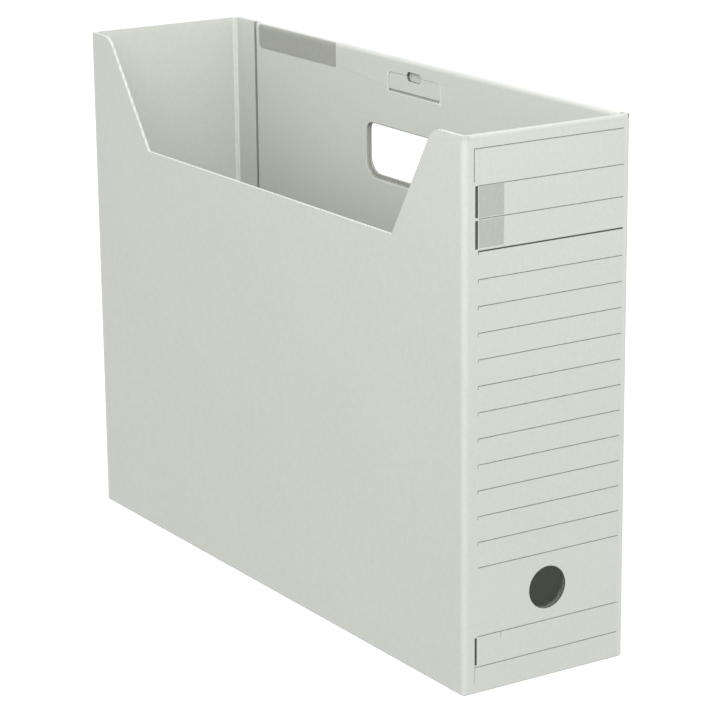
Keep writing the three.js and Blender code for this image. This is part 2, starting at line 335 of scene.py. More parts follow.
def crushed_and_highlit_places(tree, axes):
    """Where the board is painted pale: crushed paper and painted highlight, at the corner creases of the back
    end and round the pull tab.
    """
    all_height = (FLOOR, TOP)
    places = [
        (ON_BACK, FLAP_CRUSH_AND_HIGHLIGHT, all_height),
        (ON_BACK, CORNER_CRUSH_AND_HIGHLIGHT, all_height),
        (TAB_BAND_ACROSS, ON_PANEL, TAB_BAND_UP),
        (TAB_LEFT_ACROSS, ON_PANEL, TAB_LEFT_UP),
        (TAB_RIGHT_ACROSS, ON_PANEL, TAB_RIGHT_UP),
    ]
    mask = None
    for spans in places:
        place = soft_box(tree, axes, spans, FACE_SOFT)
        mask = place if mask is None else math_node(tree, "MAXIMUM", mask, place)
    return mask


def handle_rim_highlight(tree, axes):
    """One on the inner panel in a narrow band round the foot of the handle hole, where a painted highlight
    lies.
    """
    from_middle = math_node(tree, "ABSOLUTE", math_node(tree, "SUBTRACT", axes["X"], HANDLE_MIDDLE))
    across = math_node(tree, "SUBTRACT", from_middle, HANDLE_LENGTH / 2 - HANDLE_FOOT_RADIUS)
    across = math_node(tree, "MAXIMUM", across, 0.0)
    down = math_node(tree, "SUBTRACT", HANDLE_INNER_FOOT + HANDLE_FOOT_RADIUS, axes["Z"])
    down = math_node(tree, "MAXIMUM", down, 0.0)
    squares = math_node(
        tree, "ADD", math_node(tree, "MULTIPLY", across, across), math_node(tree, "MULTIPLY", down, down))
    reach = math_node(tree, "SQRT", squares)
    at_edge = band(
        tree, reach, HANDLE_FOOT_RADIUS - HANDLE_LINE_SOFT, HANDLE_FOOT_RADIUS + HANDLE_RIM, HANDLE_LINE_SOFT)
    on_panel = band(tree, axes["Y"], *ON_PANEL, FACE_SOFT)
    low_part = ramp_value(tree, axes["Z"], HANDLE_RIM_FULL, HANDLE_RIM_END, 1.0, 0.0)
    return math_node(tree, "MULTIPLY", math_node(tree, "MULTIPLY", at_edge, on_panel), low_part)


def fold_rub_and_highlight(tree, axes):
    """How near a point is to a fold of the box: where two of its three sides are close. The paper there is
    painted paler: rubbed paper and painted highlight.
    """
    near_end = ramp_value(
        tree, math_node(tree, "ABSOLUTE", axes["X"]), FRONT - RUB_AND_HIGHLIGHT_START, FRONT - RUB_AND_HIGHLIGHT_FULL)
    near_side = ramp_value(
        tree, math_node(tree, "ABSOLUTE", axes["Y"]), HIGH_SIDE - RUB_AND_HIGHLIGHT_START, HIGH_SIDE - RUB_AND_HIGHLIGHT_FULL)
    near_top = ramp_value(tree, axes["Z"], TOP - RUB_AND_HIGHLIGHT_START, TOP - RUB_AND_HIGHLIGHT_FULL, 0.0, TOP_RUB_AND_HIGHLIGHT)
    upright = math_node(tree, "MULTIPLY", near_end, near_side)
    end_top = math_node(tree, "MULTIPLY", near_end, near_top)
    side_top = math_node(tree, "MULTIPLY", near_side, near_top)
    return math_node(tree, "MAXIMUM", math_node(tree, "MAXIMUM", upright, end_top), side_top)


def front_crown_shade(tree, axes):
    """How far up the front's folded-over top a point is, where the paper is painted darker as painted shade.
    """
    near_front = ramp_value(tree, axes["X"], FRONT - DOUBLED, FRONT - DOUBLED / 2)
    near_top = ramp_value(tree, axes["Z"], TOP - CROWN - CROWN_SHADE_DROP, TOP - CROWN / 2)
    return math_node(tree, "MULTIPLY", near_front, near_top)


def low_inside_shade(tree, axes):
    """How low inside the box a point is, where the paper is painted darker as painted shade."""
    from_end = math_node(tree, "ABSOLUTE", axes["X"])
    from_side = math_node(tree, "ABSOLUTE", axes["Y"])
    off_ends = ramp_value(tree, from_end, FRONT - INSIDE_FULL, FRONT - INSIDE_START, 1.0, 0.0)
    off_sides = ramp_value(tree, from_side, HIGH_SIDE - INSIDE_FULL, HIGH_SIDE - INSIDE_START, 1.0, 0.0)
    off_foot = ramp_value(tree, axes["Z"], BOTTOM + 1 * MM, BOTTOM + 2 * MM)
    low_part = ramp_value(tree, axes["Z"], DIM_FULL, DIM_END, DIM_SHARE, 0.0)
    inside = math_node(tree, "MULTIPLY", off_ends, off_sides)
    return math_node(tree, "MULTIPLY", math_node(tree, "MULTIPLY", inside, off_foot), low_part)


def handle_head_shadow(tree, axes):
    """One in a thin line on the inner panel, along the head of the handle hole, where a painted shadow lies.
    """
    half = HANDLE_LENGTH / 2
    across = (HANDLE_MIDDLE - half + HANDLE_TOP_RADIUS, HANDLE_MIDDLE + half - HANDLE_TOP_RADIUS)
    return soft_box(tree, axes, (across, ON_PANEL, HANDLE_SHADOW_UP), HANDLE_LINE_SOFT)


def make_board():
    material, tree, shader = new_material("grey_board_paper")
    coordinates, axes = object_axes(tree)
    mottle = noise(tree, coordinates, *MOTTLE)
    cloud = noise(tree, coordinates, *CLOUD)
    fibre = noise(tree, coordinates, *FIBRE)
    tone = math_node(
        tree, "ADD", math_node(tree, "MULTIPLY", mottle, MOTTLE_SHARE),
        math_node(tree, "MULTIPLY", cloud, CLOUD_SHARE))
    paper = mix_colour(tree, ramp_value(tree, tone, *TONE_SPAN), BOARD_DEEP, BOARD_PALE)
    speck = ramp_value(tree, fibre, *SPECK_SPAN)
    paper = mix_colour(tree, speck, paper, BOARD_PALE)
    # Paler near the folds, at the crushed creases and at the foot of the handle hole: rubbed and crushed
    # paper, and painted highlight.
    folds = math_node(tree, "MULTIPLY", fold_rub_and_highlight(tree, axes), FOLD_RUB_AND_HIGHLIGHT)
    rub_and_highlight_places = math_node(tree, "MAXIMUM", folds, crushed_and_highlit_places(tree, axes))
    rub_and_highlight_places = math_node(tree, "MAXIMUM", rub_and_highlight_places, handle_rim_highlight(tree, axes))
    # Painted shade on the front's folded-over top.
    crown = math_node(tree, "MULTIPLY", front_crown_shade(tree, axes), CROWN_SHADE_SHARE)
    paper = mix_colour(tree, crown, paper, BOARD_CROWN_PAINTED_SHADE)
    # Painted shade, darker low inside the box.
    paper = mix_colour(tree, low_inside_shade(tree, axes), paper, BOARD_PAINTED_SHADE)
    # Painted shadow along the head of the handle hole.
    handle_shadow = math_node(tree, "MULTIPLY", handle_head_shadow(tree, axes), HANDLE_SHADOW_SHARE)
    paper = mix_colour(tree, handle_shadow, paper, BOARD_PAINTED_SHADE)
    rub_and_highlight = math_node(tree, "MULTIPLY", rub_and_highlight_places, ramp_value(tree, mottle, *RUB_AND_HIGHLIGHT_SPAN))
    paper = mix_colour(tree, math_node(tree, "MULTIPLY", rub_and_highlight, RUB_AND_HIGHLIGHT_SHARE), paper, BOARD_RUBBED_AND_HIGHLIT)
    tree.links.new(paper, shader.inputs["Base Color"])
    shader.inputs["Roughness"].default_value = BOARD_ROUGHNESS
    shader.inputs["Specular IOR Level"].default_value = BOARD_SHEEN
    flutes = math_node(tree, "MULTIPLY", flute_wave(tree, axes), FLUTE_HEIGHT)
    fine = math_node(tree, "MULTIPLY", fibre, FIBRE_HEIGHT)
    coarse = math_node(tree, "MULTIPLY", mottle, MOTTLE_HEIGHT)
    height = math_node(tree, "ADD", math_node(tree, "ADD", flutes, fine), coarse)
    add_bump(tree, shader, height, *BOARD_BUMP)
    return material


def make_cut_edge(name, pale, hollow_shade_tone):
    """Cut board: the flute ends show as strokes between the papers, with painted shade in the flute hollows.
    """
    material, tree, shader = new_material(name)
    coordinates, axes = object_axes(tree)
    crumble = noise(tree, coordinates, *CRUMBLE)
    rough = math_node(tree, "MULTIPLY", crumble, CRUMBLE_SHARE)
    hollow = ramp_value(tree, math_node(tree, "ADD", flute_wave(tree, axes), rough), *HOLLOW_SPAN)
    # The flute hollows are mixed darker: painted shade.
    colour = mix_colour(tree, math_node(tree, "MULTIPLY", hollow, HOLLOW_SHADE_SHARE), pale, hollow_shade_tone)
    tree.links.new(colour, shader.inputs["Base Color"])
    shader.inputs["Roughness"].default_value = EDGE_ROUGHNESS
    shader.inputs["Specular IOR Level"].default_value = EDGE_SHEEN
    add_bump(tree, shader, math_node(tree, "SUBTRACT", rough, hollow), *EDGE_BUMP)
    return material


def make_ink(name, dense, thin):
    """Matt print: a little of the paper's mottle shows through."""
    material, tree, shader = new_material(name)
    coordinates = tree.nodes.new("ShaderNodeTexCoord").outputs["Object"]
    cover = noise(tree, coordinates, *INK_MOTTLE)
    colour = mix_colour(tree, ramp_value(tree, cover, *INK_SPAN), dense, thin)
    tree.links.new(colour, shader.inputs["Base Color"])
    shader.inputs["Roughness"].default_value = INK_ROUGHNESS
    shader.inputs["Specular IOR Level"].default_value = INK_SHEEN
    add_bump(tree, shader, cover, *INK_BUMP)
    return material


BOARD_PAPER = make_board()
CUT_EDGE = make_cut_edge("grey_board_cut_edge", (0.70, 0.71, 0.67), (0.52, 0.53, 0.48))
# A paler copy of the cut edge for crushed edges: crushed paper and painted highlight.
CRUSHED_EDGE_AND_HIGHLIGHT = make_cut_edge("grey_board_crushed_edge_and_highlight", (0.86, 0.87, 0.83), (0.80, 0.81, 0.77))
# A darker copy of the cut edge, painted shade, for edges that lie in shade.
CUT_EDGE_PAINTED_SHADE = make_cut_edge("grey_board_cut_edge_painted_shade", (0.37, 0.38, 0.34), (0.25, 0.26, 0.23))
# A darker copy for the tab's crease groove: painted shade.
CREASE_PAINTED_SHADE = make_cut_edge("grey_board_crease_painted_shade", (0.43, 0.44, 0.40), (0.38, 0.39, 0.35))
# A near-black copy for the finger hole and the grip: painted deep shade.
CUT_EDGE_PAINTED_DEEP_SHADE = make_cut_edge("grey_board_cut_edge_painted_deep_shade", (0.16, 0.168, 0.142), (0.06, 0.064, 0.052))
DARK_INK = make_ink("dark_ink", (0.062, 0.068, 0.055), (0.085, 0.092, 0.076))
LINE_INK = make_ink("line_ink", (0.20, 0.21, 0.185), (0.27, 0.28, 0.25))
PALE_INK = make_ink("pale_ink", (0.455, 0.473, 0.424), (0.49, 0.508, 0.458))
PATCH_INK = make_ink("patch_ink", (0.375, 0.385, 0.335), (0.41, 0.42, 0.37))


# Mesh helpers
def object_from(bm, name, materials):
    mesh = bpy.data.meshes.new(name)
    bm.to_mesh(mesh)
    bm.free()
    for material in materials:
        mesh.materials.append(material)
    piece = bpy.data.objects.new(name, mesh)
    bpy.context.scene.collection.objects.link(piece)
    return piece


def apply_modifiers(piece):
    depsgraph = bpy.context.evaluated_depsgraph_get()
    finished = bpy.data.meshes.new_from_object(piece.evaluated_get(depsgraph), depsgraph=depsgraph)
    piece.modifiers.clear()
    piece.data = finished


def combine(piece, other, operation):
    """Joins another closed piece to this one, or cuts it away, and leaves only this one."""
    modifier = piece.modifiers.new("combine", "BOOLEAN")
    modifier.operation = operation
    modifier.solver = "MANIFOLD"
    modifier.material_mode = "TRANSFER"
    modifier.object = other
    apply_modifiers(piece)
    bpy.data.objects.remove(other)


def box_piece(name, low, high, material):
    bm = bmesh.new()
    bmesh.ops.create_cube(bm, size=1.0)
    size = [high[i] - low[i] for i in range(3)]
    middle = [(high[i] + low[i]) / 2 for i in range(3)]
    bmesh.ops.scale(bm, vec=size, verts=bm.verts)
    bmesh.ops.translate(bm, vec=middle, verts=bm.verts)
    return object_from(bm, name, [material])


def plate(name, corners, plane, depth, material, edge_material=None):
    """A flat plate from corners (across, up, radius), rounded at its corners.
    plane maps (across, up) to the plate's near face, and depth is the way to its far one."""
    bm = bmesh.new()
    vertices = [bm.verts.new(plane(across, up)) for across, up, radius in corners]
    bm.faces.new(vertices)
    for vertex, (across, up, radius) in zip(vertices, corners):
        if radius > 0:
            round_corner(bm, vertex, radius)
    face = bm.faces[:][0]
    grown = bmesh.ops.extrude_face_region(bm, geom=[face], use_keep_orig=True)
    new_vertices = [item for item in grown["geom"] if isinstance(item, bmesh.types.BMVert)]
    bmesh.ops.translate(bm, vec=depth, verts=new_vertices)
    bmesh.ops.recalc_face_normals(bm, faces=bm.faces)
    if edge_material is None:
        return object_from(bm, name, [material])
    for face in bm.faces:
        if abs(face.normal.dot(depth.normalized())) < 0.5:
            face.material_index = 1
    return object_from(bm, name, [material, edge_material])


def round_corner(bm, vertex, radius):
    """Rounds one corner of a flat face to a true radius."""
    ends = [edge.other_vert(vertex).co - vertex.co for edge in vertex.link_edges]
    half = ends[0].angle(ends[1]) / 2
    bmesh.ops.bevel(
        bm, geom=[vertex], offset=radius / math.tan(half), offset_type="OFFSET",
        segments=FOLD_STEPS, profile=0.5, affect="VERTICES", material=-1)


def bevel_edges(bm, edges, offset, steps):
    return bmesh.ops.bevel(
        bm, geom=edges, offset=offset, offset_type="OFFSET", segments=steps, profile=0.5,
        affect="EDGES", material=-1)


def thicken(piece):
    """Gives a sheet its board thickness, inwards from its outer face, with cut edges along its rim."""
    modifier = piece.modifiers.new("board", "SOLIDIFY")
    modifier.thickness = BOARD
    modifier.offset = -1.0
    modifier.use_even_offset = True
    modifier.material_offset_rim = 1
    apply_modifiers(piece)


def extrude_edges(bm, edges, way):
    grown = bmesh.ops.extrude_edge_only(bm, edges=edges)["geom"]
    vertices = [item for item in grown if isinstance(item, bmesh.types.BMVert)]
    bmesh.ops.translate(bm, vec=way, verts=vertices)
    return [item for item in grown if isinstance(item, bmesh.types.BMEdge)
            and all(vertex in vertices for vertex in item.verts)]


# The four walls and the glue flap, one strip of board
def make_walls():
    bm = bmesh.new()
    start = Vector((BACK + CUT_EDGE_SETBACK, HIGH_SIDE, BOTTOM))
    foot = bm.verts.new(start)
    head = bm.verts.new(start + Vector((0, 0, TOP - BOTTOM)))
    edge = bm.edges.new((foot, head))
    flap_face = HIGH_SIDE - BOARD - GLUE_LINE
    corners = [(SHEET_FRONT, HIGH_SIDE), (SHEET_FRONT, LOW_SIDE), (BACK, LOW_SIDE), (BACK, flap_face),
               (BACK + FLAP_REACH, flap_face)]
    here = start.xy
    edges = [edge]
    for corner in corners:
        step = Vector(corner) - here
        edges = extrude_edges(bm, edges, Vector((step.x, step.y, 0)))
        here = Vector(corner)
    folds = [edge for edge in bm.edges if len(edge.link_faces) == 2]
    bevel_edges(bm, folds, FOLD_RADIUS, FOLD_STEPS)
    bmesh.ops.recalc_face_normals(bm, faces=bm.faces)
    middle = Vector((0, 0, (BOTTOM + TOP) / 2))
    low_wall = min(bm.faces, key=lambda face: face.calc_center_median().y)
    if low_wall.normal.dot(low_wall.calc_center_median() - middle) < 0:
        bmesh.ops.reverse_faces(bm, faces=bm.faces)
    piece = object_from(bm, "folded_walls", [BOARD_PAPER, CUT_EDGE, CUT_EDGE_PAINTED_SHADE])
    thicken(piece)
    # The glue flap's cut end takes the darker cut edge, painted shade.
    for polygon in piece.data.polygons:
        at_flap_end = abs(polygon.center.x - BACK - FLAP_REACH) < BOARD / 2
        if polygon.normal.x > 0.9 and at_flap_end:
            polygon.material_index = 2
    return piece


def make_fold_over(name, face_at, along, start, end):
    """A wall's rounded top and inner panel: face_at gives a point from its depth in from the outer face
    and its height, and the strip runs from start to end along an axis."""
    bm = bmesh.new()
    first = bm.verts.new(face_at(0, CROWN_FOOT - OVERLAP) + along * start)
    last = bm.verts.new(face_at(0, CROWN_FOOT - OVERLAP) + along * end)
    edge = bm.edges.new((first, last))
    edge = extrude_edges(bm, [edge], Vector((0, 0, OVERLAP)))[0]
    centre = face_at(DOUBLED / 2, CROWN_FOOT)
    inward = face_at(1, 0) - face_at(0, 0)
    spun = bmesh.ops.spin(
        bm, geom=[*edge.verts, edge], cent=centre, axis=Vector((0, 0, 1)).cross(inward),
        angle=math.pi, steps=2 * FOLD_STEPS, use_duplicate=False)
    end_edges = [item for item in spun["geom_last"] if isinstance(item, bmesh.types.BMEdge)]
    rise = CROWN / (DOUBLED / 2)
    for vertex in bm.verts:
        if vertex.co.z > CROWN_FOOT:
            vertex.co.z = CROWN_FOOT + (vertex.co.z - CROWN_FOOT) * rise
    extrude_edges(bm, end_edges, Vector((0, 0, FLOOR + LAYER_GAP - CROWN_FOOT)))
    bmesh.ops.recalc_face_normals(bm, faces=bm.faces)
    inner = min(bm.faces, key=lambda face: face.calc_center_median().z)
    if inner.normal.dot(inward) < 0:
        bmesh.ops.reverse_faces(bm, faces=bm.faces)
    piece = object_from(bm, name, [BOARD_PAPER, CUT_EDGE])
    thicken(piece)
    return piece


def make_bottom():
    """The four glued flaps of the bottom, as one slab. Their seams are cut later."""
    inset = BOARD / 2
    low = (BACK + inset, LOW_SIDE + inset, BOTTOM)
    high = (FRONT - inset, HIGH_SIDE - inset, FLOOR)
    return box_piece("bottom_flaps", low, high, BOARD_PAPER)


def rounded_block():
    """The box's outside as one block with rounded folds, square only where the high side's edge is cut."""
    bm = bmesh.new()
    bmesh.ops.create_cube(bm, size=1.0)
    low = (BACK - HAIR, LOW_SIDE - HAIR, BOTTOM - HAIR)
    high = (FRONT + HAIR, HIGH_SIDE + HAIR, TOP + CUT_PAST)
    bmesh.ops.scale(bm, vec=[high[i] - low[i] for i in range(3)], verts=bm.verts)
    bmesh.ops.translate(bm, vec=[(high[i] + low[i]) / 2 for i in range(3)], verts=bm.verts)
    upright = [edge for edge in bm.edges if abs(edge.verts[0].co.z - edge.verts[1].co.z) > BOARD]
    folds = [edge for edge in upright if not (edge.verts[0].co.x < 0 < edge.verts[0].co.y)]
    bevel_edges(bm, folds, FOLD_RADIUS, FOLD_STEPS)
    foot = [edge for edge in bm.edges if max(vertex.co.z for vertex in edge.verts) < BOTTOM + HAIR]
    bevel_edges(bm, foot, FOOT_FOLD_RADIUS, FOLD_STEPS)
    bmesh.ops.recalc_face_normals(bm, faces=bm.faces)
    return object_from(bm, "rounded_block", [BOARD_PAPER])


def rod(name, start, end, radius, material, flatten=(1, 1, 1)):
    """A slim round bar between two points, flattened about its own middle where a scale is given."""
    bm = bmesh.new()
    way = Vector(end) - Vector(start)
    bmesh.ops.create_cone(
        bm, cap_ends=True, segments=ROD_SIDES, radius1=radius, radius2=radius, depth=way.length)
    turn = way.to_track_quat("Z", "Y").to_matrix()
    bmesh.ops.rotate(bm, cent=(0, 0, 0), matrix=turn, verts=bm.verts)
    bmesh.ops.scale(bm, vec=flatten, verts=bm.verts)
    bmesh.ops.translate(bm, vec=(Vector(start) + Vector(end)) / 2, verts=bm.verts)
    return object_from(bm, name, [material])


def crease_beads():
    """The ridges that creasing leaves inside the back end's corners and under the pull tab."""
    back_face = BACK + BOARD
    slim = BEAD_PROUD / CREASE_BEAD
    by_flap = FLAP_FACE - CREASE_BEAD - BEAD_TO_CORNER
    by_low_side = LOW_SIDE + BOARD + CREASE_BEAD + BEAD_TO_CORNER
    beads = []
    for across in (by_flap, by_low_side):
        beads.append(rod(
            "corner_bead", (back_face, across, FLOOR - OVERLAP), (back_face, across, TOP - CRUSH),
            CREASE_BEAD, BOARD_PAPER, (slim, 1, 1)))
    height = TAB_LOW[2] - TAB_BEAD_DROP
    beads.append(rod(
        "tab_bead", (TAB_LOW[0], PANEL_FACE, height), (TAB_HIGH[0], PANEL_FACE, height),
        CREASE_BEAD, BOARD_PAPER, (1, slim, 1)))
    return beads


def tab_groove():
    height = TAB_LOW[2] - CREASE_GROOVE + GROOVE_LIFT
    start = (TAB_LOW[0] + CRUSH, PANEL_FACE, height)
    end = (TAB_HIGH[0] - CRUSH, PANEL_FACE, height)
    # The groove's darker colour is painted shade in the crease.
    return rod("tab_groove", start, end, CREASE_GROOVE, CREASE_PAINTED_SHADE)


def bottom_seams():
    apex = (FRONT - BACK - (HIGH_SIDE - LOW_SIDE)) / 2
    reach = math.sqrt(2) * (HIGH_SIDE - SEAM_CORNER_STOP)
    half = SEAM_WIDTH / 2
    cutters = [box_piece(
        "seam", (-apex - half, -half, BOTTOM - BOARD), (apex + half, half, BOTTOM + BOARD), CUT_EDGE)]
    for end in (-1, 1):
        for side in (-1, 1):
            seam = box_piece("seam", (0, -half, BOTTOM - BOARD), (reach, half, BOTTOM + BOARD), CUT_EDGE)
            turn = Matrix.Rotation(math.atan2(side, end), 4, "Z")
            seam.data.transform(Matrix.Translation((end * apex, 0, 0)) @ turn)
            cutters.append(seam)
    return cutters


def on_long_side(y):
    return lambda across, up: Vector((across, y, up))


def ear_reach(run):
    """How far from an ear's corner its rounding starts, for the run of the slope below it."""
    slope = math.atan2(run, TOP - CUTAWAY_FOOT)
    return EAR_RADIUS * math.tan((math.pi / 2 - slope) / 2)


def cutaway_cutter():
    above = TOP + CUT_PAST
    back = CUTAWAY_TOP_BACK - ear_reach(CUTAWAY_FOOT_BACK - CUTAWAY_TOP_BACK) * EAR_PAST
    front = CUTAWAY_TOP_FRONT + ear_reach(CUTAWAY_TOP_FRONT - CUTAWAY_FOOT_FRONT) * EAR_PAST
    corners = [
        (back, above, 0),
        (back, TOP, 0),
        (CUTAWAY_TOP_BACK, TOP, EAR_RADIUS),
        (CUTAWAY_FOOT_BACK, CUTAWAY_FOOT, CUTAWAY_FOOT_RADIUS),
        (CUTAWAY_FOOT_FRONT, CUTAWAY_FOOT, CUTAWAY_FOOT_RADIUS),
        (CUTAWAY_TOP_FRONT, TOP, EAR_RADIUS),
        (front, TOP, 0),
        (front, above, 0),
    ]
    near = LOW_SIDE - CUT_PAST
    return plate("cutaway", corners, on_long_side(near), Vector((0, BOARD + 2 * CUT_PAST, 0)), CUT_EDGE)


def handle_cutter(name, foot, near, far):
    left = HANDLE_MIDDLE - HANDLE_LENGTH / 2
    right = HANDLE_MIDDLE + HANDLE_LENGTH / 2
    corners = [
        (left, foot, HANDLE_FOOT_RADIUS), (right, foot, HANDLE_FOOT_RADIUS),
        (right, HANDLE_TOP, HANDLE_TOP_RADIUS), (left, HANDLE_TOP, HANDLE_TOP_RADIUS),
    ]
    # The hole's reveal takes the darker cut edge, painted shade.
    return plate(name, corners, on_long_side(near), Vector((0, far - near, 0)), CUT_EDGE_PAINTED_SHADE)


def finger_hole_cutter():
    bm = bmesh.new()
    bmesh.ops.create_cone(
        bm, cap_ends=True, segments=HOLE_SIDES, radius1=FINGER_HOLE_RADIUS, radius2=FINGER_HOLE_RADIUS,
        depth=DOUBLED + 2 * CUT_PAST)
    bmesh.ops.rotate(bm, cent=(0, 0, 0), matrix=Matrix.Rotation(math.pi / 2, 3, "Y"), verts=bm.verts)
    bmesh.ops.translate(bm, vec=(FRONT - DOUBLED / 2, FINGER_HOLE_Y, FINGER_HOLE_Z), verts=bm.verts)
    # Its reveal is near black: painted shade.
    return object_from(bm, "finger_hole", [CUT_EDGE_PAINTED_DEEP_SHADE])


def tab_corners(margin, foot):
    left = TAB_LOW[0] - margin
    right = TAB_HIGH[0] + margin
    top = TAB_HIGH[2] + margin
    return [
        (left, foot, TAB_FOOT_RADIUS + margin), (right, foot, TAB_FOOT_RADIUS + margin),
        (right, top, TAB_RADIUS + margin), (left, top, TAB_RADIUS + margin),
    ]


def grip_cutter():
    middle = (TAB_LOW[0] + TAB_HIGH[0]) / 2
    half = GRIP_HEIGHT / 2
    left, right = middle - GRIP_LENGTH / 2, middle + GRIP_LENGTH / 2
    low, high = TAB_HIGH[2] - half, TAB_HIGH[2] + half
    radius = half * GRIP_ROUNDNESS
    corners = [(left, low, radius), (right, low, radius), (right, high, radius), (left, high, radius)]
    near = TAB_LOW[1] - CUT_PAST
    depth = Vector((0, BOARD + CUT_PAST + LAYER_GAP / 2, 0))
    # Its reveal is near black: painted shade.
    return plate("finger_grip", corners, on_long_side(near), depth, CUT_EDGE_PAINTED_DEEP_SHADE)


def finish_board(piece):
    """Crushes the sharp edges of the board a little, as a cutting die does, paints them paler as crushed
    paper and painted highlight, and keeps its faces flat.
    """
    piece.data.materials.append(CRUSHED_EDGE_AND_HIGHLIGHT)
    crushed = piece.modifiers.new("crushed_edge", "BEVEL")
    crushed.width = CRUSH
    crushed.segments = CRUSH_STEPS
    crushed.limit_method = "ANGLE"
    crushed.angle_limit = CRUSH_ANGLE
    crushed.profile = 0.5
    crushed.material = len(piece.data.materials) - 1
    apply_modifiers(piece)
    for polygon in piece.data.polygons:
        polygon.use_smooth = True
    piece.data.set_sharp_from_angle(angle=SHARP_ANGLE)
    flat = piece.modifiers.new("flat_faces", "WEIGHTED_NORMAL")
    flat.mode = "FACE_AREA"
    flat.weight = 100
    flat.keep_sharp = True
    apply_modifiers(piece)


def make_box_board():
    board = make_walls()
    far_back = BACK + FLAP_REACH + FLAP_TO_PANEL
    far_front = FRONT - DOUBLED - PANEL_END_CLEARANCE
    front_low = LOW_SIDE + FRONT_FOLD_INSET
    front_high = HIGH_SIDE - BOARD - LAYER_GAP
    above = TOP + CUT_PAST
    combine(board, box_piece(
        "trim", (far_back, HIGH_SIDE - BOARD - LAYER_GAP / 2, CROWN_FOOT),
        (far_front, HIGH_SIDE + CUT_PAST, above), CUT_EDGE), "DIFFERENCE")
    combine(board, box_piece(
        "trim", (FRONT - BOARD - LAYER_GAP / 2, front_low, CROWN_FOOT),
        (FRONT + CUT_PAST, front_high, above), CUT_EDGE), "DIFFERENCE")
    high_panel = make_fold_over(
        "high_side_panel", lambda depth, height: Vector((0, HIGH_SIDE - depth, height)), Vector((1, 0, 0)),
        far_back, far_front)
    front_panel = make_fold_over(
        "front_panel", lambda depth, height: Vector((SHEET_FRONT - depth, 0, height)), Vector((0, 1, 0)),
        front_low, front_high)
    for part in (high_panel, front_panel, make_bottom()):
        combine(board, part, "UNION")
    combine(board, rounded_block(), "INTERSECT")
    for bead in crease_beads():
        combine(board, bead, "UNION")
    layer_plane = HIGH_SIDE - BOARD - LAYER_GAP / 2
    stroke_plane = HIGH_SIDE - BOARD + HANDLE_INNER_PAST
    window_depth = Vector((0, BOARD + CUT_PAST + LAYER_GAP / 2, 0))
    # The tab's window takes the darker cut edge, painted shade.
    window = plate(
        "tab_window", tab_corners(TAB_CLEARANCE, TAB_LOW[2] - TAB_CLEARANCE),
        on_long_side(TAB_LOW[1] - CUT_PAST), window_depth, CUT_EDGE_PAINTED_SHADE)
    cutters = [
        cutaway_cutter(),
        handle_cutter("handle_outer", HANDLE_FOOT, layer_plane, HIGH_SIDE + CUT_PAST),
        handle_cutter("handle_inner", HANDLE_INNER_FOOT, PANEL_FACE - CUT_PAST, stroke_plane),
        finger_hole_cutter(),
        window,
        tab_groove(),
        grip_cutter(),
        box_piece(
            "nick", (far_front, HIGH_SIDE - NICK_DEPTH, TOP - NICK_HEIGHT),
            (FRONT + CUT_PAST, HIGH_SIDE + CUT_PAST, above), CUT_EDGE),
        # The notch's faces take the darker cut edge, painted shade, for a thin dark line.
        box_piece(
            "corner_notch", (FRONT - NOTCH_DEPTH, front_high, TOP - NOTCH_HEIGHT),
            (FRONT + CUT_PAST, HIGH_SIDE + CUT_PAST, above), CUT_EDGE_PAINTED_SHADE),
        *bottom_seams(),
    ]
    for cutter in cutters:
        combine(board, cutter, "DIFFERENCE")
    finish_board(board)
    board.name = "folded_box_board"
    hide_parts("box_body")
    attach(board, "box")


def make_pull_tab():
    tab = plate(
        "pull_tab_board", tab_corners(0, TAB_LOW[2]), on_long_side(TAB_LOW[1]), Vector((0, BOARD, 0)),
        BOARD_PAPER, CUT_EDGE)
    combine(tab, grip_cutter(), "DIFFERENCE")
    finish_board(tab)
    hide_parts("pull_tab")
    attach(tab, "tab")


make_box_board()
make_pull_tab()


# Print on the front label
LINE_WIDTH = 0.45 * MM
THIN_WIDTH = 0.3 * MM
MARK_WIDTH = 0.6 * MM
HEAVY_WIDTH = 0.8 * MM
LABEL_LEFT = LOW_SIDE + 8.8 * MM
LABEL_RIGHT = LOW_SIDE + 97.7 * MM
TITLE_LEFT = LOW_SIDE + 6.3 * MM
TITLE_TOP = BOTTOM + 283.1 * MM
TITLE_FOOT = BOTTOM + 264.6 * MM
FIELD_MIDDLE = BOTTOM + 248.0 * MM
FIELD_FOOT = BOTTOM + 231.8 * MM
RULE_TOP = BOTTOM + 217.6 * MM
RULE_PITCH = 13.63 * MM
RULES = 12
TICK = 1.8 * MM
FOOT_LINE_HIGH = BOTTOM + 30.7 * MM
FOOT_LINE_LOW = BOTTOM + 14.2 * MM
BAR_LEFT = LOW_SIDE + 6.9 * MM
BAR_RIGHT = LOW_SIDE + 8.5 * MM
PALE_RIGHT = LOW_SIDE + 24.1 * MM
FOOT_BAR_RIGHT = BAR_LEFT + 1.3 * MM
GAP_AT_BAR = 0.7 * MM
BAR_FOOT_GAP = 1.2 * MM
BAR_HEAD_GAP = 0.6 * MM
PALE_LEFT = LABEL_LEFT + 0.3 * MM
PALE_HEAD_GAP = 0.4 * MM
PALE_FOOT_GAP = 1.6 * MM
TITLE_SIDE_GAP = 2 * MM
FOOT_MARK = LOW_SIDE + 23.2 * MM
FOOT_MARK_HEIGHT = 3.6 * MM
FOOT_TAIL_END = BOTTOM + 5.3 * MM


def ink_bar(bm, y_low, y_high, z_low, z_high):
    """One printed rectangle on the front."""
    made = bmesh.ops.create_cube(bm, size=1.0)["verts"]
    bmesh.ops.scale(bm, vec=(INK_PROUD + INK_SUNK, y_high - y_low, z_high - z_low), verts=made)
    middle = (SHEET_FRONT + (INK_PROUD - INK_SUNK) / 2, (y_low + y_high) / 2, (z_low + z_high) / 2)
    bmesh.ops.translate(bm, vec=middle, verts=made)


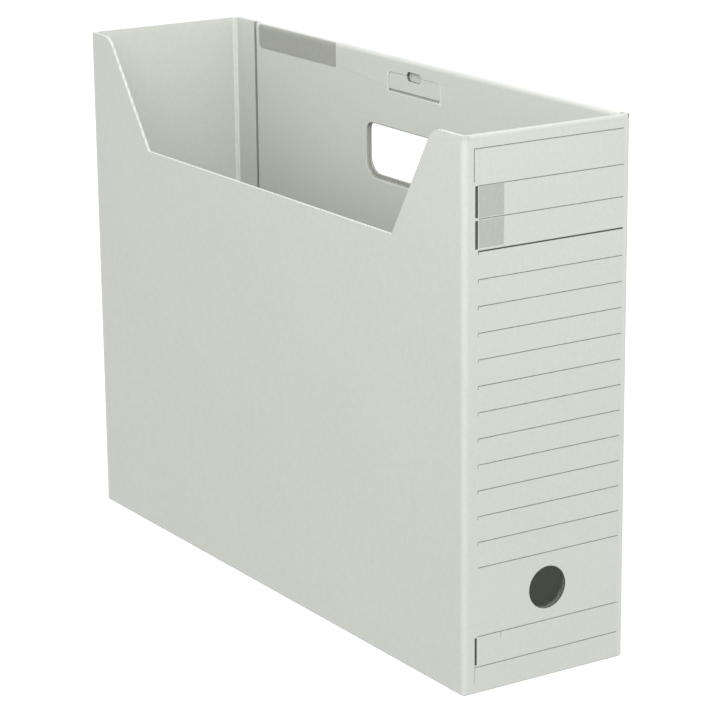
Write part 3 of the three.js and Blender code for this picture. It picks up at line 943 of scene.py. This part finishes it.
def ink_piece(bm, name, material):
    piece = object_from(bm, name, [material])
    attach(piece, "box")


def level_line(bm, left, right, height, width=LINE_WIDTH):
    ink_bar(bm, left, right, height - width / 2, height + width / 2)


def upright_line(bm, across, low, high, width=LINE_WIDTH):
    ink_bar(bm, across - width / 2, across + width / 2, low, high)


def make_label():
    lines = bmesh.new()
    level_line(lines, TITLE_LEFT, LABEL_RIGHT, TITLE_TOP)
    upright_line(lines, TITLE_LEFT, TITLE_FOOT + TITLE_SIDE_GAP, TITLE_TOP)
    level_line(lines, LABEL_LEFT, LABEL_RIGHT, TITLE_FOOT)
    level_line(lines, LABEL_LEFT, LABEL_RIGHT, FIELD_MIDDLE)
    for i in range(RULES):
        height = RULE_TOP - i * RULE_PITCH
        level_line(lines, LABEL_LEFT, LABEL_RIGHT, height)
        if i < RULES - 1:
            upright_line(lines, LABEL_LEFT, height - TICK, height, THIN_WIDTH)
    level_line(lines, LABEL_LEFT, LABEL_RIGHT, FOOT_LINE_HIGH)
    level_line(lines, BAR_LEFT, LABEL_RIGHT, FOOT_LINE_LOW)
    ink_piece(lines, "label_lines", LINE_INK)

    bars = bmesh.new()
    level_line(bars, LABEL_LEFT, LABEL_RIGHT, FIELD_FOOT, HEAVY_WIDTH)
    upright_line(bars, LABEL_LEFT, FIELD_FOOT - TICK, FIELD_FOOT, THIN_WIDTH)
    ink_bar(bars, BAR_LEFT, BAR_RIGHT, FIELD_MIDDLE + GAP_AT_BAR, TITLE_FOOT)
    ink_bar(bars, BAR_LEFT, BAR_RIGHT, FIELD_FOOT + BAR_FOOT_GAP, FIELD_MIDDLE - GAP_AT_BAR)
    ink_bar(bars, BAR_LEFT, FOOT_BAR_RIGHT, FOOT_LINE_LOW + BAR_FOOT_GAP, FOOT_LINE_HIGH - BAR_HEAD_GAP)
    ink_piece(bars, "label_bars", DARK_INK)

    fields = bmesh.new()
    ink_bar(fields, PALE_LEFT, PALE_RIGHT, FIELD_MIDDLE + GAP_AT_BAR, TITLE_FOOT - PALE_HEAD_GAP)
    ink_bar(fields, PALE_LEFT, PALE_RIGHT, FIELD_FOOT + PALE_FOOT_GAP, FIELD_MIDDLE - GAP_AT_BAR)
    upright_line(fields, FOOT_MARK, FOOT_LINE_HIGH - FOOT_MARK_HEIGHT, FOOT_LINE_HIGH, MARK_WIDTH)
    upright_line(fields, BAR_LEFT, FOOT_TAIL_END, FOOT_LINE_LOW, MARK_WIDTH)
    ink_piece(fields, "label_fields", PALE_INK)


# Grey patch printed inside, at the top back corner of the high side's panel
PATCH_LEFT = BACK + 28.8 * MM
PATCH_RIGHT = BACK + 115 * MM
PATCH_FOOT = BOTTOM + 275.1 * MM
PATCH_RADIUS = 3.2 * MM
PATCH_WRAP = math.radians(48)


def make_patch():
    """A flat field with rounded lower corners, carried on over the foot of the crown."""
    bm = bmesh.new()
    face_y = PANEL_FACE - INK_PROUD
    corners = [
        (PATCH_LEFT, PATCH_FOOT), (PATCH_RIGHT, PATCH_FOOT),
        (PATCH_RIGHT, CROWN_FOOT), (PATCH_LEFT, CROWN_FOOT),
    ]
    vertices = [bm.verts.new((x, face_y, z)) for x, z in corners]
    bm.faces.new(vertices)
    round_corner(bm, vertices[0], PATCH_RADIUS)
    round_corner(bm, vertices[1], PATCH_RADIUS / 3)
    top_edge = max(bm.edges, key=lambda edge: min(vertex.co.z for vertex in edge.verts))
    centre = Vector((0, HIGH_SIDE - DOUBLED / 2, CROWN_FOOT))
    bmesh.ops.spin(
        bm, geom=[*top_edge.verts, top_edge], cent=centre, axis=(1, 0, 0), angle=-PATCH_WRAP,
        steps=FOLD_STEPS, use_duplicate=False)
    rise = (CROWN + INK_PROUD) / (DOUBLED / 2 + INK_PROUD)
    for vertex in bm.verts:
        if vertex.co.z > CROWN_FOOT:
            vertex.co.z = CROWN_FOOT + (vertex.co.z - CROWN_FOOT) * rise
    bmesh.ops.recalc_face_normals(bm, faces=bm.faces)
    if min(bm.faces, key=lambda face: face.calc_center_median().z).normal.y > 0:
        bmesh.ops.reverse_faces(bm, faces=bm.faces)
    patch = object_from(bm, "lining_patch", [PATCH_INK])
    modifier = patch.modifiers.new("ink", "SOLIDIFY")
    modifier.thickness = INK_PROUD + INK_SUNK
    modifier.offset = -1.0
    apply_modifiers(patch)
    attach(patch, "box")


make_label()
make_patch()


# Studio
WORLD_ABOVE = 1.12
WORLD_BELOW = 0.53
HORIZON_SOFT = 0.25
FLOOR_SIZE = 6.0
FLOOR_TONE = 0.95
FLOOR_GLOW = 0.08

# Each light's name, place, size, watts and aim
LIGHTS = [
    ("front_light", (1.9, -0.35, 1.2), 1.0, 7.0, (-0.19, 0, 0.2)),
    ("side_light", (0.9, -1.2, 1.35), 1.0, 3.4, (0.1, 0.05, 0.25)),
    ("top_light", (0.34, -0.24, 0.72), 0.35, 0.9, (0.05, 0.05, 0.2)),
]


def make_floor():
    bm = bmesh.new()
    bmesh.ops.create_grid(bm, x_segments=2, y_segments=2, size=FLOOR_SIZE)
    material, tree, shader = new_material("studio_floor")
    shader.inputs["Base Color"].default_value = (FLOOR_TONE, FLOOR_TONE, FLOOR_TONE, 1.0)
    shader.inputs["Roughness"].default_value = 1.0
    shader.inputs["Specular IOR Level"].default_value = 0.0
    shader.inputs["Emission Color"].default_value = (1.0, 1.0, 1.0, 1.0)
    shader.inputs["Emission Strength"].default_value = FLOOR_GLOW
    floor = object_from(bm, "floor", [material])
    floor.visible_diffuse = False


def make_light(name, place, size, watts, aim):
    light = bpy.data.lights.new(name, "AREA")
    light.shape = "DISK"
    light.size = size
    light.energy = watts
    lamp = bpy.data.objects.new(name, light)
    lamp.location = place
    lamp.rotation_euler = (Vector(aim) - Vector(place)).to_track_quat("-Z", "Y").to_euler()
    bpy.context.scene.collection.objects.link(lamp)


def make_studio():
    make_floor()
    world = bpy.data.worlds.new("studio")
    world.use_nodes = True
    tree = world.node_tree
    background = tree.nodes["Background"]
    background.inputs["Color"].default_value = (1.0, 1.0, 1.0, 1.0)
    direction = tree.nodes.new("ShaderNodeTexCoord").outputs["Generated"]
    split = tree.nodes.new("ShaderNodeSeparateXYZ")
    tree.links.new(direction, split.inputs[0])
    strength = ramp_value(
        tree, split.outputs["Z"], -HORIZON_SOFT, HORIZON_SOFT, WORLD_BELOW, WORLD_ABOVE)
    tree.links.new(strength, background.inputs["Strength"])
    bpy.context.scene.world = world
    for light in LIGHTS:
        make_light(*light)
    bpy.context.scene.view_settings.view_transform = "Standard"


make_studio()
